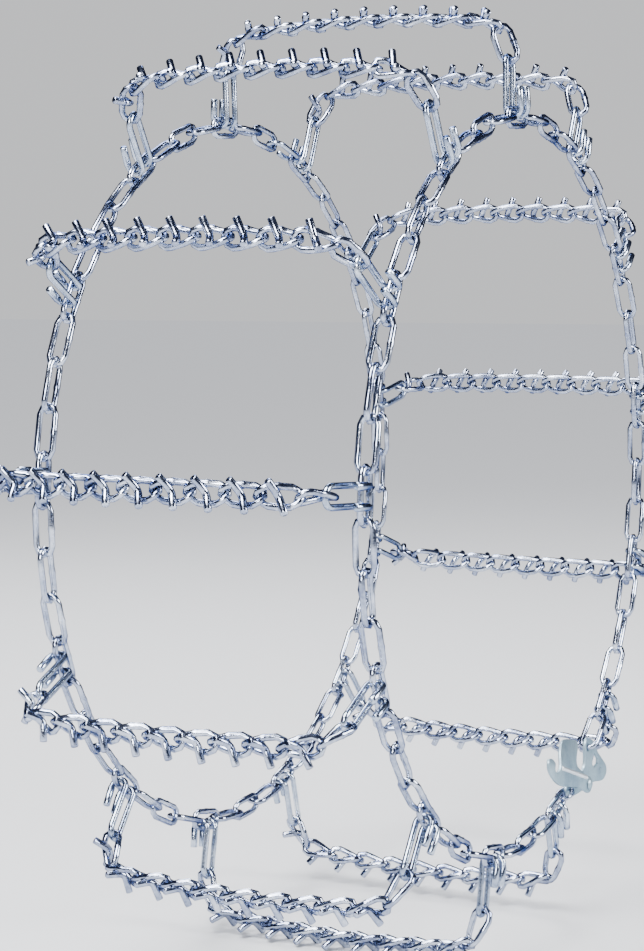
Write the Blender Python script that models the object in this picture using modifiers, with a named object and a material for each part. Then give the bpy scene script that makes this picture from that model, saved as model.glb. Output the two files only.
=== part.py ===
# Tire snow chains in their fitted shape, with no tyre inside them.
# Two side chains lie in rings on the two sidewalls.  Thirteen cross chains of twisted links with
# V-bars run over the tread between them, and each ends in a two-prong wire hook at both rings.
# The outer ring is closed by a plate fastener with a swinging lever.
# Metres, +Z up.  The origin is the wheel's centre, Y is the axle, and the outer side faces -Y.
import math

import bpy
import bmesh
from mathutils import Matrix, Vector

for old in list(bpy.data.objects):
    bpy.data.objects.remove(old, do_unlink=True)

# ---- driving dimensions ---------------------------------------------------------------------
CROSS_CHAINS = 13            # cross chains round the tyre
GAP_LINKS = 4                # side links from one cross chain to the next
FIRST_ANGLE = -3.2           # degrees from the top to the first cross chain, towards +X
TREAD_RADIUS = 0.3640        # middle of a cross chain over the middle of the tread
SIDE_RADIUS = 0.2860         # ring of a side chain
SIDE_Y = 0.1275              # side chains' distance from the middle plane
CROWN_LENGTH = 0.0965        # half the tread that is nearly flat, along the chain
CROWN_TURN = 6.0             # degrees the chain turns over that half
SHOULDER_LENGTH = 0.0360     # along the shoulder's bend
WALL_TURN = 82.0             # heading on the sidewall, degrees
HALF_PATH = 0.1840           # along the chain from the middle to the side ring

CROSS_LINKS = 11
CROSS_PITCH = 0.0253
CROSS_WIRE = 0.0024          # radius
CROSS_HALF_WIDTH = 0.0068    # middle of the link to the middle of its bar
CROSS_OVERLAP = 0.0030       # how far the end links reach past their pitch
CROSS_PASS = 0.0030          # strands' distance from the middle where they cross
V_WIRE = 0.0025
V_SPREAD = 0.0121
V_RISE = 0.0082
V_LIFT = -0.0020             # the apex sits low between the link's bars
V_TURN = 28.7                # degrees the V-bar is turned from straight across

SIDE_WIRE = 0.0021
SIDE_HALF_WIDTH = 0.0066
SIDE_PITCH = 2.0 * SIDE_RADIUS * math.sin(math.pi / (CROSS_CHAINS * GAP_LINKS))
SIDE_OVERLAP = 0.0026        # fused links
SIDE_FREE = 0.0047           # links of two nodes, which stay apart

HOOK_WIRE = 0.0021
HOOK_HALF_GAP = 0.0070       # middle of the hook to the middle of a prong
HOOK_TURN_RADIUS = 0.0062    # prong's centre line round the side link's bar
HOOK_TIP = 0.0165            # free end beyond the bar
BAR_RADIUS = SIDE_RADIUS + SIDE_HALF_WIDTH

PLATE_THICK = 0.0025
LEVER_Y = -0.13875           # middle of the lever's plate
RIVET_X = 0.0215
RIVET_Z = 0.0070
FASTENER_GAP = 9             # the fastener follows this cross chain's hook link

STEP = 2.0 * math.pi / CROSS_CHAINS
LINK_STEP = STEP / GAP_LINKS

collection = bpy.data.collections.new("TireSnowChains")
bpy.context.scene.collection.children.link(collection)
helpers = bpy.data.collections.new("Cutters")
bpy.context.scene.collection.children.link(helpers)


def material(name, colour, roughness, metallic):
    made = bpy.data.materials.new(name)
    made.use_nodes = True
    shader = made.node_tree.nodes["Principled BSDF"]
    shader.inputs["Base Color"].default_value = (*colour, 1.0)
    shader.inputs["Roughness"].default_value = roughness
    shader.inputs["Metallic"].default_value = metallic
    return made


ZINC = material("ZincPlatedWire", (0.66, 0.70, 0.78), 0.28, 1.0)
HOOK_STEEL = material("HookWire", (0.70, 0.73, 0.79), 0.30, 1.0)
PLATE_STEEL = material("PressedPlate", (0.62, 0.69, 0.72), 0.45, 0.9)


def add_object(name, mesh, mat, parent=None):
    made = bpy.data.objects.new(name, mesh)
    collection.objects.link(made)
    if not mesh.materials:
        mesh.materials.append(mat)
    if parent is not None:
        made.parent = parent
    return made


def mesh_of(obj):
    """The evaluated mesh of a helper object, in the helper's place, welded; the helper goes."""
    graph = bpy.context.evaluated_depsgraph_get()
    mesh = bpy.data.meshes.new_from_object(obj.evaluated_get(graph))
    mesh.transform(obj.matrix_world)
    work = bmesh.new()
    work.from_mesh(mesh)
    bmesh.ops.remove_doubles(work, verts=work.verts, dist=0.00001)
    bmesh.ops.recalc_face_normals(work, faces=work.faces)
    work.to_mesh(mesh)
    work.free()
    bpy.data.objects.remove(obj, do_unlink=True)
    return mesh


def wire_mesh(points, radius, closed):
    """A square-section wire along a polyline."""
    curve = bpy.data.curves.new("Wire", "CURVE")
    curve.dimensions = "3D"
    curve.bevel_depth = radius
    curve.bevel_resolution = 0
    curve.render_resolution_u = 0
    curve.use_fill_caps = not closed
    spline = curve.splines.new("POLY")
    spline.points.add(len(points) - 1)
    for knot, point in zip(spline.points, points):
        knot.co = (*point, 1.0)
    spline.use_cyclic_u = closed
    helper = bpy.data.objects.new("Wire", curve)
    helpers.objects.link(helper)
    bpy.context.view_layer.update()
    return mesh_of(helper)


def fused(meshes, keep):
    """One closed body from overlapping closed bodies, with its smallest facets merged."""
    base = bpy.data.objects.new("Base", meshes[0])
    helpers.objects.link(base)
    if len(meshes) > 1:
        others = bpy.data.collections.new("Others")
        bpy.context.scene.collection.children.link(others)
        for mesh in meshes[1:]:
            piece = bpy.data.objects.new("Other", mesh)
            piece.hide_render = True
            piece.display_type = "WIRE"
            others.objects.link(piece)
        joined = base.modifiers.new("Union", "BOOLEAN")
        joined.operation = "UNION"
        joined.solver = "EXACT"
        joined.operand_type = "COLLECTION"
        joined.collection = others
        joined.use_self = True
        thinned = base.modifiers.new("Thin", "DECIMATE")
        thinned.ratio = keep
        thinned.use_collapse_triangulate = True
    bpy.context.view_layer.update()
    mesh = mesh_of(base)
    if len(meshes) > 1:
        for piece in list(others.objects):
            bpy.data.objects.remove(piece, do_unlink=True)
        bpy.data.collections.remove(others)
    return mesh


# ---- the line of a cross chain over the tyre -------------------------------------------------
def heading(distance):
    """How far the chain has turned down, in radians, at this distance from the middle."""
    if distance < CROWN_LENGTH:
        return math.radians(CROWN_TURN) * distance / CROWN_LENGTH
    if distance < CROWN_LENGTH + SHOULDER_LENGTH:
        part = (distance - CROWN_LENGTH) / SHOULDER_LENGTH
        return math.radians(CROWN_TURN + (WALL_TURN - CROWN_TURN) * part)
    return math.radians(WALL_TURN)


def path_frame(s):
    """Place, direction towards +Y and outward normal of the cross chain's line at length s."""
    side = -1.0 if s < 0.0 else 1.0
    length = abs(s)
    count = 200
    y = 0.0
    z = TREAD_RADIUS
    for i in range(count):
        angle = heading((i + 0.5) * length / count)
        y += math.cos(angle) * length / count
        z -= math.sin(angle) * length / count
    angle = heading(length)
    place = Vector((0.0, side * y, z - BAR_RADIUS))
    along = Vector((0.0, math.cos(angle), -side * math.sin(angle)))
    outward = Vector((0.0, side * math.sin(angle), math.cos(angle)))
    return place, along, outward


ACROSS = Vector((1.0, 0.0, 0.0))


def link_line(place, along, outward, across, back, ahead, half_width, blunt):
    """A link's centre line: straight bars, and a pointed or a blunt crown at each end."""
    start = ((-back, -0.5), (-back, 0.5)) if blunt[0] else ((-back, 0.0),)
    finish = ((ahead, 0.5), (ahead, -0.5)) if blunt[1] else ((ahead, 0.0),)
    corners = start + ((-0.6 * back, 1.0), (0.6 * ahead, 1.0))
    corners += finish + ((0.6 * ahead, -1.0), (-0.6 * back, -1.0))
    return [place + along * u + across * (side * half_width) for u, side in corners]


def braid(frames, half_width, crossing, ends):
    """One closed wire that goes out along one side of every link and back along the other.

    frames holds each link's place, direction, two cross directions and half length.  The two
    strands pass each other between links and meet at the crowns of the first and last link,
    whose ends stand on edge for the hooks.
    """
    near = []
    far = []
    last = len(frames) - 1
    for number, (place, along, across, outward, half) in enumerate(frames):
        flip = 1.0 if number % 2 == 0 else -1.0
        for u in (-0.5 * half, 0.5 * half):
            turned = (number == 0 and u < 0.0) or (number == last and u > 0.0)
            sideways = outward if turned else across
            near.append(place + along * u + sideways * (flip * half_width))
            far.append(place + along * u - sideways * (flip * half_width))
        if number < len(frames) - 1:
            nearer, further = crossing(number)
            near.append(nearer)
            far.append(further)
    loop = [ends[0] + frames[0][3] * (0.5 * half_width)] + near
    loop += [ends[1] + frames[last][3] * (0.5 * half_width)]
    loop += [ends[1] - frames[last][3] * (0.5 * half_width)] + list(reversed(far))
    return loop + [ends[0] - frames[0][3] * (0.5 * half_width)]


def cross_run_mesh():
    """Eleven twisted links and ten V-bars, in the frame of the hook bars' axis."""
    frames = []
    turn = math.radians(V_TURN)
    middle = (CROSS_LINKS - 1) / 2.0
    for i in range(CROSS_LINKS):
        place, along, outward = path_frame((i - middle) * CROSS_PITCH)
        frames.append((place, along, ACROSS, outward, CROSS_PITCH / 2.0))

    def crossing(i):
        place, along, outward = path_frame((i + 0.5 - middle) * CROSS_PITCH)
        return place + outward * CROSS_PASS, place - outward * CROSS_PASS

    eye = (CROSS_LINKS * CROSS_PITCH + CROSS_OVERLAP) / 2.0
    ends = [path_frame(-eye)[0], path_frame(eye)[0]]
    pieces = [wire_mesh(braid(frames, CROSS_HALF_WIDTH, crossing, ends), CROSS_WIRE, True)]
    for i in range(1, CROSS_LINKS):
        place, along, across, outward, half = frames[i]
        apex = place + outward * V_LIFT
        lean = (ACROSS * math.cos(turn) + along * math.sin(turn)) * V_SPREAD
        tips = [apex + lean + outward * V_RISE, apex, apex - lean + outward * V_RISE]
        pieces.append(wire_mesh(tips, V_WIRE, False))
    return fused(pieces, 0.68)


def hook_mesh(side):
    """Two prongs joined by a bight: over the last link, down the sidewall, round the bar."""
    eye = (CROSS_LINKS * CROSS_PITCH + CROSS_OVERLAP) / 2.0
    bight, along, outward = path_frame(side * (eye - 0.0056))
    down = along * side
    bar = Vector((0.0, side * SIDE_Y, 0.0))
    out = Vector((0.0, side, 0.0))
    up = Vector((0.0, 0.0, 1.0))
    turn = HOOK_TURN_RADIUS
    half = []
    half.append(bight + down * 0.0055 + ACROSS * HOOK_HALF_GAP)
    for angle in (0.0, 60.0, 120.0, 180.0):
        swing = math.radians(angle)
        half.append(bar - out * turn * math.cos(swing) - up * turn * math.sin(swing)
                    + ACROSS * HOOK_HALF_GAP)
    half.append(bar + out * (turn + 0.0004) + up * HOOK_TIP + ACROSS * HOOK_HALF_GAP)
    other = [Vector((-point.x, point.y, point.z)) for point in half]
    top = [bight - ACROSS * 0.0042, bight + ACROSS * 0.0042]
    return wire_mesh(list(reversed(other)) + top + half, HOOK_WIRE, False)


run_mesh = cross_run_mesh()
outer_hook_mesh = hook_mesh(-1.0)
inner_hook_mesh = hook_mesh(1.0)
for number in range(1, CROSS_CHAINS + 1):
    angle = math.radians(FIRST_ANGLE) - (number - 1) * STEP
    axle_pin = bpy.data.objects.new(f"CrossChain{number:02d}_axis", None)
    axle_pin.location = (BAR_RADIUS * math.sin(angle), 0.0, BAR_RADIUS * math.cos(angle))
    axle_pin.rotation_euler = (0.0, angle, 0.0)
    collection.objects.link(axle_pin)
    add_object(f"CrossChain{number:02d}", run_mesh, ZINC, axle_pin)
    add_object(f"CrossChain{number:02d}_OuterHook", outer_hook_mesh, HOOK_STEEL, axle_pin)
    add_object(f"CrossChain{number:02d}_InnerHook", inner_hook_mesh, HOOK_STEEL, axle_pin)


# ---- side chains ------------------------------------------------------------------------------
def ring_frame(angle, y):
    place = Vector((SIDE_RADIUS * math.sin(angle), y, SIDE_RADIUS * math.cos(angle)))
    along = Vector((math.cos(angle), 0.0, -math.sin(angle)))
    outward = Vector((math.sin(angle), 0.0, math.cos(angle)))
    return place, along, outward


def side_run(name, first_angle, y, flat_first, count):
    """A run of side links, alternately flat on the sidewall and standing on edge."""
    pieces = []
    for i in range(count):
        place, along, outward = ring_frame(first_angle + i * LINK_STEP, y)
        back = (SIDE_PITCH + (SIDE_FREE if i == 0 else SIDE_OVERLAP)) / 2.0
        ahead = (SIDE_PITCH + (SIDE_FREE if i == count - 1 else SIDE_OVERLAP)) / 2.0
        flat = (i % 2 == 0) == flat_first
        across = outward if flat else Vector((0.0, 1.0, 0.0))
        blunt = (i == 0, i == count - 1)
        line = link_line(place, along, outward, across, back, ahead, SIDE_HALF_WIDTH, blunt)
        pieces.append(wire_mesh(line, SIDE_WIRE, True))
    return add_object(name, fused(pieces, 0.65), ZINC)


def hook_angle(number):
    return math.radians(FIRST_ANGLE) - (number - 1) * STEP


for number in range(1, CROSS_CHAINS + 1):
    count = 2 if number == FASTENER_GAP else GAP_LINKS
    side_run(f"OuterSideChain{number:02d}", hook_angle(number), -SIDE_Y, True, count)

INNER_RUNS = ((13, 16), (9, 16), (5, 19))
for number, (first, count) in enumerate(INNER_RUNS, start=1):
    side_run(f"InnerSideChain{number}", hook_angle(first), SIDE_Y, True, count)

# The inner ring closes with an open wire hook in place of one standing link.
place, along, outward = ring_frame(hook_angle(1) + 3 * LINK_STEP, SIDE_Y)
half = (SIDE_PITCH + SIDE_FREE) / 2.0
axle = Vector((0.0, 1.0, 0.0))
width = axle * SIDE_HALF_WIDTH
closing = [place + along * (0.25 * half) + width,
           place + along * (0.65 * half) + width,
           place + along * half + width * 0.5,
           place + along * half - width * 0.5,
           place + along * (0.65 * half) - width,
           place - along * (0.65 * half) - width,
           place - along * half - width * 0.5,
           place - along * half + width * 0.5,
           place - along * (0.65 * half) + width,
           place - along * (0.20 * half) + width]
add_object("InnerClosingHook", wire_mesh(closing, SIDE_WIRE, False), HOOK_STEEL)

# ---- the outer fastener --------------------------------------------------------------------------
# Its own frame: X along the ring towards the next cross chain, Z outward, zero on the ring.
FASTENER_ANGLE = hook_angle(FASTENER_GAP) + 2 * LINK_STEP
FASTENER = (Matrix.Rotation(FASTENER_ANGLE, 4, "Y") @ Matrix.Translation((0.0, 0.0, SIDE_RADIUS)))


def circle(x, z, radius, count):
    return [(x + radius * math.cos(2.0 * math.pi * i / count),
             z + radius * math.sin(2.0 * math.pi * i / count)) for i in range(count)]


def plate_mesh(outline, holes, y):
    """A flat plate in the plane of the sidewall, from its outline and its holes."""
    curve = bpy.data.curves.new("Plate", "CURVE")
    curve.dimensions = "2D"
    curve.fill_mode = "BOTH"
    curve.extrude = PLATE_THICK / 2.0
    for loop in [outline] + holes:
        spline = curve.splines.new("POLY")
        spline.points.add(len(loop) - 1)
        for knot, point in zip(spline.points, loop):
            knot.co = (point[0], point[1], 0.0, 1.0)
        spline.use_cyclic_u = True
    helper = bpy.data.objects.new("Plate", curve)
    helper.matrix_world = Matrix.Translation((0.0, y, 0.0)) @ Matrix.Rotation(math.pi / 2, 4, "X")
    helpers.objects.link(helper)
    bpy.context.view_layer.update()
    return mesh_of(helper)


def place_fastener(name, mesh, mat):
    mesh.transform(FASTENER)
    return add_object(name, mesh, mat)


EYE_X = -0.0345 + (SIDE_PITCH + SIDE_FREE) / 2.0
END_FREE = 0.0056            # end link past the crown that it holds
TONGUE_X = 0.0372
TONGUE_Z = -0.0007
back_outline = ((-0.022, -0.003), (-0.019, -0.007), (-0.012, -0.007), (-0.008, -0.001),
                (-0.004, 0.006), (0.0045, 0.009), (0.021, 0.002), (0.034, -0.0055),
                (0.040, -0.0065), (0.0445, -0.003), (0.044, 0.002), (0.042, 0.005),
                (0.0215, 0.0185), (0.0, 0.030), (-0.011, 0.036), (-0.022, 0.045),
                (-0.032, 0.0515), (-0.040, 0.0515), (-0.0425, 0.046), (-0.038, 0.034),
                (-0.0315, 0.020), (-0.030, 0.010), (-0.027, 0.002))
slot = ((-0.0235, 0.0150), (-0.0190, 0.0225), (-0.0265, 0.0260))
back_holes = [circle(EYE_X, -0.0005, 0.0034, 10), circle(TONGUE_X, TONGUE_Z, 0.0034, 10),
              circle(RIVET_X, RIVET_Z, 0.0030, 10), slot, circle(-0.0300, 0.0375, 0.0016, 6)]
place_fastener("FastenerPlate", plate_mesh(back_outline, back_holes, -SIDE_Y), PLATE_STEEL)

# The rivet is turned: a head at the back, a thick spacer and a head over the lever.
profile = ((0.0, 0.0030), (0.0045, 0.0030), (0.0045, 0.0016), (0.0026, 0.0016),
           (0.0026, -0.0017), (0.0045, -0.0017), (0.0045, -0.0096), (0.0026, -0.0096),
           (0.0026, -0.0129), (0.0048, -0.0129), (0.0048, -0.0145), (0.0, -0.0145))
rivet = bpy.data.meshes.new("Rivet")
rivet.from_pydata([(x, 0.0, z) for x, z in profile], [(i, i + 1) for i in range(len(profile) - 1)], [])
turned = bpy.data.objects.new("Rivet", rivet)
helpers.objects.link(turned)
screw = turned.modifiers.new("Turn", "SCREW")
screw.steps = 12
screw.render_steps = 12
screw.use_merge_vertices = True
screw.merge_threshold = 0.00001
turned.matrix_world = (Matrix.Translation((RIVET_X, -SIDE_Y, RIVET_Z))
                       @ Matrix.Rotation(-math.pi / 2, 4, "X"))
bpy.context.view_layer.update()
place_fastener("FastenerRivet", mesh_of(turned), PLATE_STEEL)

# The lever's plate: an ear round the rivet, a tab, and a finger that ends in a rounded hook.
lever_outline = ((0.0145, 0.006), (0.0155, 0.012), (0.021, 0.015), (0.027, 0.0125),
                 (0.0345, 0.002), (0.043, -0.0095), (0.054, -0.0205), (0.0685, -0.0335),
                 (0.0785, -0.0465), (0.0855, -0.0605), (0.0875, -0.071), (0.084, -0.0755),
                 (0.077, -0.072), (0.073, -0.065), (0.078, -0.061), (0.0735, -0.0535),
                 (0.0655, -0.0525), (0.055, -0.0585), (0.0435, -0.059), (0.0345, -0.055),
                 (0.024, -0.0455), (0.015, -0.0355), (0.0135, -0.031), (0.027, -0.0285),
                 (0.033, -0.0255), (0.0305, -0.018), (0.020, 0.0))
lever_axis = bpy.data.objects.new("FastenerLever_axis", None)
lever_axis.matrix_world = FASTENER @ Matrix.Translation((RIVET_X, LEVER_Y, RIVET_Z))
collection.objects.link(lever_axis)
lever_mesh = plate_mesh(lever_outline, [circle(RIVET_X, RIVET_Z, 0.0030, 10)], LEVER_Y)
lever_mesh.transform(Matrix.Translation((-RIVET_X, -LEVER_Y, -RIVET_Z)))
add_object("FastenerLever", lever_mesh, PLATE_STEEL, lever_axis)

# A small ring standing on edge joins the tongue's eye to the next hook link.
NEXT_X = SIDE_RADIUS * math.sin(2 * LINK_STEP)
NEXT_Z = SIDE_RADIUS * (math.cos(2 * LINK_STEP) - 1.0)
reach = (SIDE_PITCH + SIDE_FREE) / 2.0
crown = Vector((NEXT_X - reach * math.cos(2 * LINK_STEP), 0.0, NEXT_Z + reach * math.sin(2 * LINK_STEP)))
eye = Vector((TONGUE_X, 0.0, TONGUE_Z))
ahead = (crown - eye).normalized()
middle = (eye + crown + ahead * END_FREE) / 2.0 - Vector((0.0, SIDE_Y, 0.0))
reach = ((crown - eye).length + END_FREE) / 2.0
line = link_line(middle, ahead, ahead, axle, reach, reach, 0.0060, (True, True))
place_fastener("FastenerEndLink", wire_mesh(line, 0.0019, True), ZINC)

for made in list(collection.objects):
    if made.type == "MESH":
        made.data.shade_smooth()
        made.data.set_sharp_from_angle(angle=math.radians(35.0))

total = sum(len(made.data.loop_triangles) for made in collection.objects if made.type == "MESH")
print("nodes", sum(1 for made in collection.objects if made.type == "MESH"))
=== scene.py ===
# %% [markdown]
# # Tire snow chains, fitted
#
# A ladder chain for one tyre: two side chains lie in rings on the sidewalls, and thirteen cross
# chains of twisted links run over the tread between them. Nearly every cross link carries a
# V-bar that bites into snow. This lesson bends all of it from wire, the way a chain maker does,
# cuts the plates of the fastener, and finishes everything in bright zinc.

# %% Load the frame
import math

import bmesh
import bpy
from mathutils import Matrix, Vector


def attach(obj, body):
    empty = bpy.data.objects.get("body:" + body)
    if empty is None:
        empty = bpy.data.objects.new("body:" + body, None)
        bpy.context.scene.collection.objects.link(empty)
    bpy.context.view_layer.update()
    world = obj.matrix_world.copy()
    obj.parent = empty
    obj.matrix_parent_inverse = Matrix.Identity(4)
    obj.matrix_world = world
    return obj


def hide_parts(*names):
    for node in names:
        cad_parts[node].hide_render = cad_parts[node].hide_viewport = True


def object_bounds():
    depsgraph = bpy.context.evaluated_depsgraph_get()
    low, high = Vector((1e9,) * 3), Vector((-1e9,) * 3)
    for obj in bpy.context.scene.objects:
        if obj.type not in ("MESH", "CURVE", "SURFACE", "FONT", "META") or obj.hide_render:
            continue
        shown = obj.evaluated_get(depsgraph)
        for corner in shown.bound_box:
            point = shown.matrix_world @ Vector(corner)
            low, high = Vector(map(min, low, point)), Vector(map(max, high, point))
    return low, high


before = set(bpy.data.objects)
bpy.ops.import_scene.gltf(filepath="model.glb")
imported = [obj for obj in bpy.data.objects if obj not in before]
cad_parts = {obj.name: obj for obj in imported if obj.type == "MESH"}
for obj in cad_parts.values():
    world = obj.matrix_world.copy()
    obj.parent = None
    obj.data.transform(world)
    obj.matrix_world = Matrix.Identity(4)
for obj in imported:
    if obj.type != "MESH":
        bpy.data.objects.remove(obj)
cad_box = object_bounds()

# %% [markdown]
# ## Sizes
#
# Every number here is a size of the real chain in metres, measured from the wheel's centre. Y is
# the axle, and the outer side of the wheel faces -Y.

# %% Sizes of the chain
CHAINS = 13
SIDE_LINKS_APART = 4
STEP = 2.0 * math.pi / CHAINS
LINK_STEP = STEP / SIDE_LINKS_APART
FIRST_ANGLE = math.radians(-3.2)
TREAD_RADIUS = 0.3640
SIDE_RADIUS = 0.2860
SIDE_Y = 0.1275
SIDE_PITCH = 2.0 * SIDE_RADIUS * math.sin(LINK_STEP / 2.0)
SIDE_WIRE = 0.0023
SIDE_HALF = 0.0066
CROSS_LINKS = 11
CROSS_PITCH = 0.0253
CROSS_WIRE = 0.0025
CROSS_HALF = 0.0068
V_WIRE = 0.0027
HOOK_WIRE = 0.0024
BAR_RADIUS = SIDE_RADIUS + SIDE_HALF
AXLE = Vector((0.0, 1.0, 0.0))
ACROSS = Vector((1.0, 0.0, 0.0))
print("side link pitch", round(SIDE_PITCH * 1000.0, 2), "mm")

# %% [markdown]
# ## A wire bender
#
# Links, V-bars and hooks are all round wire that a machine feeds straight and bends round a die.
# A curve object with a bevel would give round wire too, but its bends come from handles. A ring
# of points that is extruded for a straight length and spun for a bend gives the same wire from
# the sizes on the workshop drawing, so that is the tool used here.

# %% Wire bender
class Wire:
    """Round wire in a bmesh: straight lengths and bends, one after the other."""

    def __init__(self, bm, start, direction, radius, sides=8):
        self.bm = bm
        self.place = Vector(start)
        self.direction = Vector(direction).normalized()
        facing = Vector((0.0, 0.0, 1.0)).rotation_difference(self.direction)
        matrix = Matrix.Translation(self.place) @ facing.to_matrix().to_4x4()
        made = bmesh.ops.create_circle(bm, cap_ends=False, segments=sides, radius=radius,
                                       matrix=matrix)
        self.ring = made["verts"]
        self.first_ring = self.ring

    def edges(self, ring=None):
        ring = ring or self.ring
        held = set(ring)
        found = {edge for vert in ring for edge in vert.link_edges
                 if edge.verts[0] in held and edge.verts[1] in held}
        return sorted(found, key=lambda edge: edge.index)

    def straight(self, length, swell=1.0):
        self.bm.edges.index_update()
        made = bmesh.ops.extrude_edge_only(self.bm, edges=self.edges())
        self.ring = [item for item in made["geom"] if isinstance(item, bmesh.types.BMVert)]
        move = self.direction * length
        bmesh.ops.translate(self.bm, verts=self.ring, vec=move)
        self.place = self.place + move
        if swell != 1.0:
            at_place = Matrix.Translation(-self.place)
            bmesh.ops.scale(self.bm, vec=(swell, swell, swell), space=at_place, verts=self.ring)
        return self

    def bend(self, angle, radius, towards, steps):
        self.bm.edges.index_update()
        towards = Vector(towards)
        towards = (towards - self.direction * towards.dot(self.direction)).normalized()
        axis = self.direction.cross(towards)
        centre = self.place + towards * radius
        made = bmesh.ops.spin(self.bm, geom=self.ring + self.edges(), cent=centre, axis=axis,
                              dvec=(0.0, 0.0, 0.0), angle=angle, steps=steps,
                              use_merge=False, use_normal_flip=False, use_duplicate=False)
        self.ring = [item for item in made["geom_last"] if isinstance(item, bmesh.types.BMVert)]
        turn = Matrix.Rotation(angle, 3, axis)
        self.place = centre + turn @ (self.place - centre)
        self.direction = turn @ self.direction
        return self

    def cut(self, both=True, chamfer=0.0004):
        """Flat sheared ends with a worn edge."""
        for ring in ([self.first_ring] if both else []) + [self.ring]:
            self.bm.edges.index_update()
            rim = self.edges(ring)
            bmesh.ops.contextual_create(self.bm, geom=rim)
            bmesh.ops.bevel(self.bm, geom=rim, offset=chamfer, offset_type="OFFSET", segments=1,
                            profile=0.5, affect="EDGES", material=-1, clamp_overlap=True)


def finished(bm, name, sharp=70.0):
    """The bmesh as a mesh with closed seams, faces outwards and smooth wire."""
    bmesh.ops.remove_doubles(bm, verts=bm.verts, dist=0.00002)
    bmesh.ops.recalc_face_normals(bm, faces=bm.faces)
    mesh = bpy.data.meshes.new(name)
    bm.to_mesh(mesh)
    bm.free()
    mesh.shade_smooth()
    mesh.set_sharp_from_angle(angle=math.radians(sharp))
    return mesh


def add_copy(bm, mesh, matrix):
    """Adds a mesh to a bmesh at a place."""
    known = len(bm.verts)
    bm.from_mesh(mesh)
    bm.verts.ensure_lookup_table()
    bmesh.ops.transform(bm, matrix=matrix, verts=bm.verts[known:])


def axes_matrix(place, x_axis, y_axis, z_axis):
    columns = Matrix((x_axis, y_axis, z_axis)).transposed().to_4x4()
    return Matrix.Translation(place) @ columns


print("wire bender ready")

# %% [markdown]
# ## Finishes
#
# Bright zinc is a bluish silver that is never quite even: the bath leaves cloudy patches, the
# wire keeps fine drawing lines, and salt dulls it. The plates are the same zinc with a satin
# surface. Shader maths is easier to read as an expression, so a small class wraps a socket and
# turns the ordinary operators into Math nodes.

# %% Shader expressions
class Value:
    """A socket whose value varies over the surface, for use in ordinary expressions."""

    def __init__(self, finish, socket):
        self.finish = finish
        self.socket = socket

    def _join(self, operation, first, second):
        node = self.finish.node("ShaderNodeMath", {"operation": operation}, {0: first, 1: second})
        return Value(self.finish, node.outputs[0])

    def __add__(self, other):
        return self._join("ADD", self, other)

    __radd__ = __add__

    def __mul__(self, other):
        return self._join("MULTIPLY", self, other)

    __rmul__ = __mul__


class Finish:
    """A material that is built node by node."""

    def __init__(self, name):
        self.material = bpy.data.materials.new(name)
        self.material.use_nodes = True
        self.tree = self.material.node_tree
        self.shader = self.tree.nodes["Principled BSDF"]
        self.place = self.node("ShaderNodeTexCoord", {}, {}).outputs["Object"]

    def plug(self, socket, value):
        if isinstance(value, Value):
            value = value.socket
        if isinstance(value, bpy.types.NodeSocket):
            self.tree.links.new(value, socket)
        else:
            socket.default_value = value

    def node(self, kind, settings, inputs):
        made = self.tree.nodes.new(kind)
        for name, value in settings.items():
            if name == "stops":
                while len(made.color_ramp.elements) < len(value):
                    made.color_ramp.elements.new(0.5)
                for element, (position, colour) in zip(made.color_ramp.elements, value):
                    element.position = position
                    element.color = colour
            else:
                setattr(made, name, value)
        for name, value in inputs.items():
            self.plug(made.inputs[name], value)
        return made

    def cloud(self, scale, detail=3.0, rough=0.55, stretch=(1.0, 1.0, 1.0)):
        """Soft patches of 0 to 1 with about this many to the metre."""
        spot = self.node("ShaderNodeMapping", {}, {"Vector": self.place, "Scale": stretch})
        made = self.node("ShaderNodeTexNoise", {"noise_dimensions": "3D"},
                         {"Vector": spot.outputs[0], "Scale": scale, "Detail": detail,
                          "Roughness": rough})
        return Value(self, made.outputs["Fac"])

    def ramp(self, value, stops):
        made = self.node("ShaderNodeValToRGB", {"stops": stops}, {"Fac": value})
        return made.outputs["Color"]

    def bump(self, height, strength, distance):
        made = self.node("ShaderNodeBump", {}, {"Height": height, "Strength": strength,
                                                "Distance": distance})
        self.plug(self.shader.inputs["Normal"], made.outputs["Normal"])


print("finish helpers ready")

# %% Zinc and plate finishes
def grey(red, green, blue):
    return (red, green, blue, 1.0)


NAVY_EDGE = grey(0.10, 0.13, 0.30)


def zinc_finish(name, pale, middle, dull, rough_low, rough_span, grain, edge=NAVY_EDGE):
    finish = Finish(name)
    clouds = finish.cloud(38.0, detail=4.0)
    specks = finish.cloud(420.0, detail=2.0)
    lines = finish.cloud(900.0, detail=2.0, stretch=(1.0, 0.35, 1.0))
    tone = clouds * 0.72 + specks * 0.28
    colour = finish.ramp(tone, [(0.30, dull), (0.50, middle), (0.68, pale)])
    finish.plug(finish.shader.inputs["Base Color"], colour)
    wear = (specks * 0.6 + lines * 0.4) * rough_span + rough_low
    finish.plug(finish.shader.inputs["Roughness"], wear)
    finish.shader.inputs["Metallic"].default_value = 1.0
    finish.shader.inputs["Specular Tint"].default_value = edge
    finish.bump(lines * 0.5 + specks * 0.5, grain, 0.0006)
    return finish.material


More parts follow.
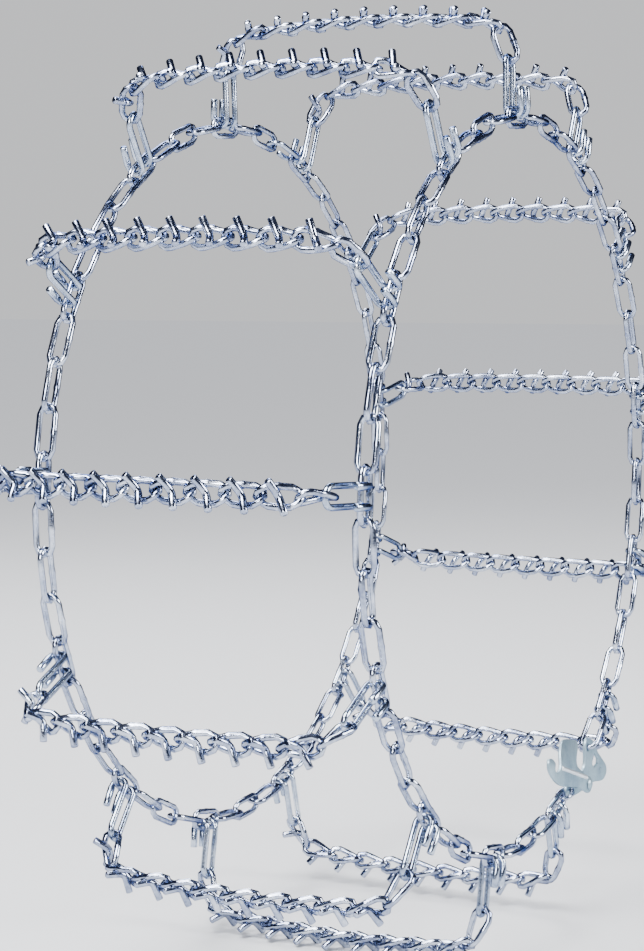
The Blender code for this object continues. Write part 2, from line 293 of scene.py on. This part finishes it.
WIRE_ZINC = zinc_finish("BrightZincWire", grey(0.72, 0.77, 0.86), grey(0.40, 0.45, 0.57),
                        grey(0.13, 0.16, 0.28), 0.07, 0.20, 0.25)
HOOK_ZINC = zinc_finish("HookZinc", grey(0.72, 0.79, 0.88), grey(0.42, 0.49, 0.61),
                        grey(0.15, 0.20, 0.32), 0.09, 0.22, 0.22)
PLATE_ZINC = zinc_finish("SatinZincPlate", grey(0.44, 0.56, 0.62), grey(0.33, 0.44, 0.51),
                         grey(0.21, 0.30, 0.38), 0.36, 0.22, 0.18, grey(0.5, 0.58, 0.66))
# The fold rib's near-white colour is a painted highlight: it stands in for the bright line that
# light puts along the bend.
FOLD_HIGHLIGHT_ZINC = zinc_finish("FoldPaintedHighlight", grey(0.92, 0.95, 0.97), grey(0.84, 0.88, 0.91),
                        grey(0.66, 0.72, 0.77), 0.32, 0.20, 0.15, grey(0.8, 0.85, 0.9))
WELD_GREY = zinc_finish("WeldBead", grey(0.52, 0.56, 0.64), grey(0.34, 0.37, 0.46),
                        grey(0.16, 0.18, 0.26), 0.28, 0.35, 0.60)
print("finishes", [item.name for item in
                   (WIRE_ZINC, HOOK_ZINC, PLATE_ZINC, FOLD_HIGHLIGHT_ZINC, WELD_GREY)])

# %% [markdown]
# ## Placing pieces
#
# Each finished piece is an ordinary object at the origin whose place is in its mesh. It rides on
# the body that carries it, and it stands for the plain solid of the same part.

# %% Placing helper
def place_piece(name, mesh, materials, body, nodes):
    for made in materials:
        mesh.materials.append(made)
    piece = bpy.data.objects.new(name, mesh)
    bpy.context.scene.collection.objects.link(piece)
    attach(piece, body)
    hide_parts(*nodes)
    return piece


def turned_copy(mesh, angle, name):
    """A copy of a mesh, moved round the axle."""
    copy = mesh.copy()
    copy.name = name
    copy.transform(Matrix.Rotation(angle, 4, "Y"))
    return copy


# %% [markdown]
# ## One cross link
#
# A cross link is an oval ring of wire that is welded shut in one bar and then twisted a quarter
# turn, so that the run lies flat on the tread. The oval is bent with four moves of the wire
# bender. The twist is a rotation of each point about the link's length, in proportion to how far
# along it lies.

# %% Oval and twisted links
WELD_BULGE = 1.18
LINK_SIDES = 7


def oval_link(half_length, half_width, radius, weld=True, bars=1):
    """A closed oval of wire along X, with a butt weld in one bar."""
    bm = bmesh.new()
    bar = 2.0 * (half_length - half_width)
    wire = Wire(bm, (-bar / 2.0, -half_width, 0.0), (1.0, 0.0, 0.0), radius, LINK_SIDES)
    if weld:
        wire.straight(bar * 0.40).straight(bar * 0.10, WELD_BULGE)
        wire.straight(bar * 0.10, 1.0 / WELD_BULGE).straight(bar * 0.40)
    else:
        wire.straight(bar / 2.0).straight(bar / 2.0)
    wire.bend(math.pi, half_width, (0.0, 1.0, 0.0), 4)
    for _ in range(bars):
        wire.straight(bar / bars)
    wire.bend(math.pi, half_width, (0.0, -1.0, 0.0), 4)
    bmesh.ops.remove_doubles(bm, verts=bm.verts, dist=0.00002)
    return bm


def twist(bm, half_length, start, end):
    """Turns each point about X, from start degrees at one end to end degrees at the other."""
    for vert in bm.verts:
        part = (vert.co.x + half_length) / (2.0 * half_length)
        part = min(1.0, max(0.0, part))
        angle = math.radians(start + (end - start) * part)
        bmesh.ops.rotate(bm, verts=[vert], cent=(0.0, 0.0, 0.0),
                         matrix=Matrix.Rotation(angle, 3, "X"))


CROSS_LONG = CROSS_PITCH / 2.0 + CROSS_WIRE
LINK_TWISTS = {"plain": (-90.0, -45.0), "twisted": (45.0, -45.0), "last": (45.0, 90.0)}
cross_link = {}
for kind, (start, end) in LINK_TWISTS.items():
    bm = oval_link(CROSS_LONG, CROSS_HALF, CROSS_WIRE, bars=3)
    twist(bm, CROSS_LONG, start, end)
    cross_link[kind] = finished(bm, "CrossLink_" + kind)
print("cross link faces", len(cross_link["twisted"].polygons))

# %% [markdown]
# ## A V-bar
#
# The V-bar is a short rod, bent once to a wide V and sheared at both ends. It lies across a link
# with its two tips standing off the tread, turned a little so that its teeth bite both forwards
# and sideways. Two weld beads hold it where it crosses the link's bars.

# %% V-bar and its welds
V_SPREAD = 0.0121
V_RISE = 0.0088
V_TURN = math.radians(28.7)
V_APEX = 0.0008
slope = math.atan2(V_RISE, V_SPREAD)
leg = math.hypot(V_RISE, V_SPREAD)
bend_radius = 0.0052
lost = bend_radius * math.tan(slope)
bm = bmesh.new()
wire = Wire(bm, (-V_SPREAD, 0.0, V_APEX + V_RISE), (V_SPREAD, 0.0, -V_RISE), V_WIRE)
wire.straight(leg - lost).bend(2.0 * slope, bend_radius, (0.0, 0.0, 1.0), 3)
wire.straight(leg - lost).cut()
v_bar = finished(bm, "VBar")

bm = bmesh.new()
for side in (-1.0, 1.0):
    known = len(bm.verts)
    bmesh.ops.create_uvsphere(bm, u_segments=6, v_segments=4, radius=0.0022)
    bm.verts.ensure_lookup_table()
    bead = bm.verts[known:]
    bmesh.ops.scale(bm, vec=(1.25, 1.0, 0.8), verts=bead)
    bmesh.ops.translate(bm, vec=(side * CROSS_HALF, 0.0, 0.0026), verts=bead)
weld_beads = finished(bm, "VBarWelds")
for polygon in weld_beads.polygons:
    polygon.material_index = 1
print("V-bar faces", len(v_bar.polygons), "bead faces", len(weld_beads.polygons))

# %% [markdown]
# ## The line over the tyre
#
# Every cross chain follows the same line: nearly flat over the crown, tightly round the shoulder
# and almost straight down the sidewall. The heading is known at every length, so adding up small
# steps gives the place of each link.

# %% Line of a cross chain
CROWN_LENGTH = 0.0965
SHOULDER_LENGTH = 0.0360


def heading(distance):
    if distance < CROWN_LENGTH:
        return math.radians(6.0) * distance / CROWN_LENGTH
    part = min(1.0, (distance - CROWN_LENGTH) / SHOULDER_LENGTH)
    return math.radians(6.0 + 76.0 * part)


def line_frame(s):
    """Place, direction towards +Y and outward normal at length s from the middle."""
    side = -1.0 if s < 0.0 else 1.0
    length = abs(s)
    y = 0.0
    z = TREAD_RADIUS
    for i in range(200):
        angle = heading((i + 0.5) * length / 200)
        y += math.cos(angle) * length / 200
        z -= math.sin(angle) * length / 200
    angle = heading(length)
    return (Vector((0.0, side * y, z)), Vector((0.0, math.cos(angle), -side * math.sin(angle))),
            Vector((0.0, side * math.sin(angle), math.cos(angle))))


bm = bmesh.new()
for i in range(CROSS_LINKS):
    place, along, outward = line_frame((i - (CROSS_LINKS - 1) / 2.0) * CROSS_PITCH)
    kind = "plain" if i == 0 else ("last" if i == CROSS_LINKS - 1 else "twisted")
    add_copy(bm, cross_link[kind], axes_matrix(place, along, -ACROSS, outward))
    if i > 0:
        spot = axes_matrix(place, ACROSS, along, outward)
        lean = Matrix.Rotation(V_TURN, 4, "Z")
        add_copy(bm, v_bar, spot @ lean)
        add_copy(bm, weld_beads, spot @ lean)
cross_run = finished(bm, "CrossRun")
print("one cross chain", len(cross_run.polygons), "faces")

# %% [markdown]
# ## The wire hook
#
# Each end of a cross chain hangs in a hook of one bent wire: a round bight holds the last link,
# two prongs run down the sidewall behind the side link's outer bar, and each is folded tightly
# round that bar with its free end pointing back up. Half of it is bent from the bight and
# mirrored.

# %% Wire hook
HOOK_HALF_GAP = 0.0070
EYE = CROSS_LINKS * CROSS_PITCH / 2.0
hook_meshes = {}
for side, label in ((-1.0, "outer"), (1.0, "inner")):
    bight, along, outward = line_frame(side * (EYE - 0.0030))
    down = along * side
    bar = Vector((0.0, side * SIDE_Y, BAR_RADIUS))
    out = Vector((0.0, side, 0.0))
    fold = 0.0060
    foot = bar - out * fold
    bm = bmesh.new()
    leg_top = bight + down * HOOK_HALF_GAP + ACROSS * HOOK_HALF_GAP
    reach = foot - leg_top
    reach.x = 0.0
    wire = Wire(bm, bight, ACROSS, HOOK_WIRE)
    wire.bend(math.pi / 2.0, HOOK_HALF_GAP, down, 5)
    lean = wire.direction.angle(reach)
    wire.bend(lean, 0.010, reach, 2)
    length = (foot - wire.place).dot(wire.direction)
    wire.straight(length * 0.5).straight(length * 0.5 - 0.0004)
    wire.bend(math.pi + lean * 0.5, fold, out, 8)
    wire.straight(0.0010, 1.2).straight(0.0080).straight(0.0070).cut(both=False)
    bmesh.ops.mirror(bm, geom=bm.verts[:] + bm.edges[:] + bm.faces[:], axis="X",
                     merge_dist=0.00002)
    hook_meshes[label] = finished(bm, "Hook_" + label)
print("hook faces", len(hook_meshes["outer"].polygons))

# %% Place the cross chains
for number in range(1, CHAINS + 1):
    angle = FIRST_ANGLE - (number - 1) * STEP
    body = f"cross_chain_{number:02d}"
    node = f"CrossChain{number:02d}"
    run = turned_copy(cross_run, angle, f"cross_chain_{number:02d}_links")
    place_piece(run.name, run, (WIRE_ZINC, WELD_GREY), body, (node,))
    for label, ending in (("outer", "_OuterHook"), ("inner", "_InnerHook")):
        hook = turned_copy(hook_meshes[label], angle, f"cross_chain_{number:02d}_{label}_hook")
        place_piece(hook.name, hook, (HOOK_ZINC,), body, (node + ending,))
print("cross chains", CHAINS)

# %% [markdown]
# ## Side chains
#
# A side chain is straight-link chain: every link is a long oval that stands at a right angle to
# the next. The links that the hooks hold lie flat on the sidewall, so every second link lies flat
# and the ones between stand on edge. One oval is bent, then copied round the ring.

# %% Side links
SIDE_LONG = SIDE_PITCH / 2.0 + SIDE_WIRE
side_link = finished(oval_link(SIDE_LONG, SIDE_HALF, SIDE_WIRE), "SideLink")


def ring_frame(angle, y):
    place = Vector((SIDE_RADIUS * math.sin(angle), y, SIDE_RADIUS * math.cos(angle)))
    along = Vector((math.cos(angle), 0.0, -math.sin(angle)))
    outward = Vector((math.sin(angle), 0.0, math.cos(angle)))
    return place, along, outward


def side_run(name, first_angle, y, count, node):
    bm = bmesh.new()
    for i in range(count):
        place, along, outward = ring_frame(first_angle + i * LINK_STEP, y)
        flat = i % 2 == 0
        across = outward if flat else AXLE
        add_copy(bm, side_link, axes_matrix(place, along, across, along.cross(across)))
    mesh = finished(bm, name)
    return place_piece(name, mesh, (WIRE_ZINC,), "side_chains", (node,))


for number in range(1, CHAINS + 1):
    count = 2 if number == 9 else SIDE_LINKS_APART
    angle = FIRST_ANGLE - (number - 1) * STEP
    side_run(f"outer_side_chain_{number:02d}", angle, -SIDE_Y, count, f"OuterSideChain{number:02d}")
for number, (first, count) in enumerate(((13, 16), (9, 16), (5, 19)), start=1):
    angle = FIRST_ANGLE - (first - 1) * STEP
    side_run(f"inner_side_chain_{number}", angle, SIDE_Y, count, f"InnerSideChain{number}")
print("side chains placed")

# %% [markdown]
# ## The inner closing hook
#
# Behind the wheel the ring is closed by a plain open link: one bar of the oval is cut, so that
# the next link can be slipped in before the outer side is tightened.

# %% Inner closing hook
place, along, outward = ring_frame(FIRST_ANGLE + 3 * LINK_STEP, SIDE_Y)
bm = bmesh.new()
bar = 2.0 * (SIDE_LONG - SIDE_HALF)
wire = Wire(bm, (0.0045, -SIDE_HALF, 0.0), (1.0, 0.0, 0.0), SIDE_WIRE)
wire.straight(bar / 2.0 - 0.0045).bend(math.pi, SIDE_HALF, (0.0, 1.0, 0.0), 7)
wire.straight(bar / 2.0).straight(bar / 2.0)
wire.bend(math.pi, SIDE_HALF, (0.0, -1.0, 0.0), 7)
wire.straight(bar / 2.0 - 0.0035).cut()
open_link = finished(bm, "inner_closing_hook")
open_link.transform(axes_matrix(place, along, -AXLE, outward))
# That frame is mirrored, which turns the faces inwards, so they are turned back.
open_link.flip_normals()
place_piece("inner_closing_hook", open_link, (HOOK_ZINC,), "side_chains", ("InnerClosingHook",))

# %% [markdown]
# ## The fastener
#
# The outer ring is drawn tight and closed by pressed plates. A back plate holds the side chain
# by an eye beside its lobe, and its tongue reaches to the next link. A lever turns on a rivet
# through the back plate: its tab is the thumb piece, and its finger curls round to hook the
# chain. A flat outline is a curve: it takes holes and a rounded rim without any Boolean. Cutting
# the corners of a rough outline twice gives the soft press-tool shape.

# %% Plate helper
FASTENER_ANGLE = FIRST_ANGLE - 8 * STEP + 2 * LINK_STEP
FASTENER = (Matrix.Rotation(FASTENER_ANGLE, 4, "Y") @ Matrix.Translation((0.0, 0.0, SIDE_RADIUS)))
RIVET = Vector((0.0215, 0.0, 0.0070))
RIVET_HOLE = 0.0028
TONGUE_EYE = Vector((0.0372, 0.0, -0.0007))
PLATE_THICKNESS = 0.0025


def rounded(outline, times=2):
    for _ in range(times):
        cut = []
        for i, (x, z) in enumerate(outline):
            to_x, to_z = outline[(i + 1) % len(outline)]
            cut.append((x * 0.75 + to_x * 0.25, z * 0.75 + to_z * 0.25))
            cut.append((x * 0.25 + to_x * 0.75, z * 0.25 + to_z * 0.75))
        outline = cut
    return outline


def circle(x, z, radius, count=20):
    return [(x + radius * math.cos(2.0 * math.pi * i / count),
             z + radius * math.sin(2.0 * math.pi * i / count)) for i in range(count)]


def pressed_plate(name, outline, holes, thickness, rim, y):
    """A plate in the plane of the sidewall with a rounded rim."""
    curve = bpy.data.curves.new(name, "CURVE")
    curve.dimensions = "2D"
    curve.fill_mode = "BOTH"
    curve.extrude = thickness / 2.0 - rim
    curve.bevel_depth = rim
    curve.bevel_resolution = 2
    curve.offset = -rim
    for loop in [outline] + holes:
        spline = curve.splines.new("POLY")
        spline.points.add(len(loop) - 1)
        for knot, point in zip(spline.points, loop):
            knot.co = (point[0], point[1], 0.0, 1.0)
        spline.use_cyclic_u = True
    helper = bpy.data.objects.new(name, curve)
    bpy.context.scene.collection.objects.link(helper)
    bpy.context.view_layer.update()
    graph = bpy.context.evaluated_depsgraph_get()
    mesh = bpy.data.meshes.new_from_object(helper.evaluated_get(graph))
    bpy.data.objects.remove(helper, do_unlink=True)
    mesh.transform(Matrix.Translation((0.0, y, 0.0)) @ Matrix.Rotation(math.pi / 2.0, 4, "X"))
    bm = bmesh.new()
    bm.from_mesh(mesh)
    return bm


# %% Back plate with its tongue
back_outline = [(-0.0225, -0.0035), (-0.0190, -0.0085), (-0.0120, -0.0085), (-0.0070, -0.0010),
                (-0.0030, 0.0075), (0.0045, 0.0095), (0.0210, 0.0020), (0.0335, -0.0060),
                (0.0410, -0.0080), (0.0460, -0.0040), (0.0455, 0.0030), (0.0410, 0.0065),
                (0.0215, 0.0190), (0.0000, 0.0305), (-0.0120, 0.0365), (-0.0220, 0.0455),
                (-0.0320, 0.0530), (-0.0415, 0.0530), (-0.0440, 0.0460), (-0.0385, 0.0340),
                (-0.0320, 0.0200), (-0.0300, 0.0100), (-0.0275, 0.0020)]
eye_x = -0.0345 + SIDE_PITCH / 2.0 + 0.0023
bm = pressed_plate("FastenerBack", rounded(back_outline),
                   [circle(eye_x, -0.0005, 0.0032), circle(TONGUE_EYE.x, TONGUE_EYE.z, 0.0030),
                    circle(RIVET.x, RIVET.z, RIVET_HOLE),
                    rounded([(-0.0235, 0.0105), (-0.0140, 0.0240), (-0.0320, 0.0315)], 1),
                    circle(-0.0300, 0.0375, 0.0014, 10)],
                   PLATE_THICKNESS, 0.0005, -SIDE_Y)
mesh = finished(bm, "fastener_back_plate", sharp=40.0)
mesh.transform(FASTENER)
place_piece("fastener_back_plate", mesh, (PLATE_ZINC,), "side_chains", ("FastenerPlate",))
print("back plate faces", len(mesh.polygons))

# %% Lever with its finger and folded rib
LEVER_Y = -0.13875
TAB_TILT = -13.0
lever_outline = [(0.0140, 0.0050), (0.0145, 0.0125), (0.0210, 0.0155), (0.0275, 0.0125),
                 (0.0345, 0.0020), (0.0430, -0.0095), (0.0540, -0.0200), (0.0685, -0.0330),
                 (0.0790, -0.0460), (0.0860, -0.0600), (0.0885, -0.0715), (0.0840, -0.0770),
                 (0.0770, -0.0730), (0.0720, -0.0640), (0.0785, -0.0605), (0.0740, -0.0530),
                 (0.0665, -0.0520), (0.0560, -0.0595), (0.0435, -0.0605), (0.0340, -0.0555),
                 (0.0240, -0.0460), (0.0140, -0.0365), (0.0125, -0.0300), (0.0270, -0.0285),
                 (0.0330, -0.0255), (0.0305, -0.0180), (0.0195, 0.0000)]
bm = pressed_plate("FastenerLever", rounded(lever_outline),
                   [circle(RIVET.x, RIVET.z, RIVET_HOLE)], PLATE_THICKNESS, 0.0006, LEVER_Y)
fold_start = Vector((0.0655, LEVER_Y - 0.0010, -0.0515))
fold_end = Vector((0.0245, LEVER_Y - 0.0010, -0.0035))
fold_line = (fold_end - fold_start).normalized()
tab_side = fold_line.cross(AXLE)
bmesh.ops.bisect_plane(bm, geom=bm.verts[:] + bm.edges[:] + bm.faces[:], dist=0.00002,
                       plane_co=fold_start, plane_no=tab_side)
tab = [vert for vert in bm.verts if (vert.co - fold_start).dot(tab_side) > 0.00001]
print("tab", len(tab), "of", len(bm.verts))
bmesh.ops.rotate(bm, verts=tab, cent=fold_start,
                 matrix=Matrix.Rotation(math.radians(TAB_TILT), 3, fold_line))
known = len(bm.faces)
rib = Wire(bm, fold_start, fold_end - fold_start, 0.0019, 10)
rib.straight((fold_end - fold_start).length).cut()
# The rib's faces take the near-white finish, a painted highlight along the fold.
bm.faces.ensure_lookup_table()
for face in bm.faces[known:]:
    face.material_index = 1
mesh = finished(bm, "fastener_lever", sharp=40.0)
mesh.transform(FASTENER)
place_piece("fastener_lever", mesh, (PLATE_ZINC, FOLD_HIGHLIGHT_ZINC), "fastener_lever", ("FastenerLever",))
print("lever faces", len(mesh.polygons))

# %% Rivet and end link
bm = bmesh.new()
rivet_line = [(0.0, -0.0148), (0.0022, -0.0146), (0.0040, -0.0138), (0.0047, -0.0128),
              (0.0026, -0.0128), (0.0026, -0.0098), (0.0043, -0.0096), (0.0043, -0.0018),
              (0.0026, -0.0016), (0.0026, 0.0016), (0.0045, 0.0017), (0.0040, 0.0026),
              (0.0, 0.0031)]
points = [bmesh.ops.create_vert(bm, co=(x, y, 0.0))["vert"][0] for x, y in rivet_line]
for near, far in zip(points, points[1:]):
    bm.edges.new((near, far))
bmesh.ops.spin(bm, geom=bm.verts[:] + bm.edges[:], cent=(0.0, 0.0, 0.0), axis=(0.0, 1.0, 0.0),
               dvec=(0.0, 0.0, 0.0), angle=2.0 * math.pi, steps=24, use_merge=True,
               use_normal_flip=False, use_duplicate=False)
mesh = finished(bm, "fastener_rivet", sharp=40.0)
mesh.transform(FASTENER @ Matrix.Translation((RIVET.x, -SIDE_Y, RIVET.z)))
place_piece("fastener_rivet", mesh, (PLATE_ZINC,), "side_chains", ("FastenerRivet",))

turn = 2.0 * LINK_STEP
next_link = Vector((SIDE_RADIUS * math.sin(turn), 0.0, SIDE_RADIUS * (math.cos(turn) - 1.0)))
ahead = Vector((math.cos(turn), 0.0, -math.sin(turn)))
crown = next_link - ahead * (SIDE_LONG - SIDE_WIRE + 0.0021)
reach = (crown - TONGUE_EYE).length / 2.0 + 0.0022
middle = (TONGUE_EYE + crown) / 2.0 + ahead * 0.0022 - AXLE * SIDE_Y
mesh = finished(oval_link(reach, 0.0058, 0.0019, weld=False), "fastener_end_link")
link_line = (crown - TONGUE_EYE).normalized()
mesh.transform(FASTENER @ axes_matrix(middle, link_line, AXLE, link_line.cross(AXLE)))
place_piece("fastener_end_link", mesh, (WIRE_ZINC,), "side_chains", ("FastenerEndLink",))
print("fastener placed")

# %% [markdown]
# ## Floor, light and camera
#
# A chain has no surface of its own to look at: it shows what it mirrors. A dim blue sky gives
# the wire its dark undersides, four soft boxes give it bright streaks, and one broad soft sun
# keeps the pale floor even. The camera stands off the tread side and looks almost square at it,
# with the outer side chain on the right.

# %% Floor and light
FLOOR_HEIGHT = cad_box[0][2] - 0.001
azimuth = math.radians(-63.467)
elevation = math.radians(5.093)
back = Vector((math.sin(azimuth) * math.cos(elevation), -math.cos(azimuth) * math.cos(elevation),
               math.sin(elevation)))
away = Vector((-back.x, -back.y, 0.0)).normalized()
aside = Vector((away.y, -away.x, 0.0))
bm = bmesh.new()
bmesh.ops.create_grid(bm, x_segments=1, y_segments=1, size=25.0,
                      matrix=Matrix.Translation((0.0, 0.0, FLOOR_HEIGHT)))
floor_object = bpy.data.objects.new("Floor", finished(bm, "Floor"))
bpy.context.scene.collection.objects.link(floor_object)
pale = bpy.data.materials.new("PaleFloor")
pale.use_nodes = True
pale_shader = pale.node_tree.nodes["Principled BSDF"]
pale_shader.inputs["Base Color"].default_value = grey(0.60, 0.61, 0.63)
pale_shader.inputs["Roughness"].default_value = 0.9
floor_object.data.materials.append(pale)

# The sky is pale where it is looked at, and dim where the wire mirrors it.
world = bpy.data.worlds.new("Studio")
world.use_nodes = True
sky = world.node_tree
seen = sky.nodes.new("ShaderNodeBackground")
seen.inputs["Color"].default_value = grey(0.76, 0.77, 0.79)
sky.nodes["Background"].inputs["Color"].default_value = grey(0.05, 0.08, 0.20)
sky.nodes["Background"].inputs["Strength"].default_value = 0.30
choice = sky.nodes.new("ShaderNodeMixShader")
sky.links.new(sky.nodes.new("ShaderNodeLightPath").outputs["Is Camera Ray"], choice.inputs[0])
sky.links.new(sky.nodes["Background"].outputs[0], choice.inputs[1])
sky.links.new(seen.outputs[0], choice.inputs[2])
sky.links.new(choice.outputs[0], sky.nodes["World Output"].inputs["Surface"])
bpy.context.scene.world = world


def soft_light(name, place, target, size, power):
    light = bpy.data.lights.new(name, "AREA")
    light.shape = "SQUARE"
    light.size = size
    light.energy = power
    holder = bpy.data.objects.new(name, light)
    holder.location = place
    holder.rotation_euler = (Vector(target) - Vector(place)).to_track_quat("-Z", "Y").to_euler()
    bpy.context.scene.collection.objects.link(holder)


WHEEL_CENTRE = Vector((0.0, 0.0, 0.0))
up = Vector((0.0, 0.0, 1.0))
soft_light("Key", up * 1.9 - aside * 0.9 - away * 0.8, WHEEL_CENTRE, 1.1, 80.0)
soft_light("Side", up * 0.8 + aside * 1.8 - away * 0.5, WHEEL_CENTRE, 0.8, 55.0)
soft_light("Front", up * 0.9 - aside * 0.7 - away * 2.4, WHEEL_CENTRE, 0.8, 60.0)
soft_light("Back", up * 1.7 + away * 1.7 - aside * 0.4, WHEEL_CENTRE, 1.0, 55.0)
daylight = bpy.data.lights.new("Daylight", "SUN")
daylight.energy = 4.2
daylight.angle = math.radians(40.0)
holder = bpy.data.objects.new("Daylight", daylight)
holder.rotation_euler = (up - aside * 0.3 - away * 0.3).to_track_quat("Z", "Y").to_euler()
bpy.context.scene.collection.objects.link(holder)
print("floor and lights placed")

# %% Camera
camera = bpy.data.cameras.new("Camera")
camera.sensor_fit = "VERTICAL"
camera.sensor_height = 24.0
camera.lens = 24.0 * 2155.9 / 951.0
camera.clip_start = 0.05
viewer = bpy.data.objects.new("Camera", camera)
viewer.location = (-1.57215, -0.73816, 0.15911)
viewer.rotation_euler = back.to_track_quat("Z", "Y").to_euler()
bpy.context.scene.collection.objects.link(viewer)
bpy.context.scene.camera = viewer
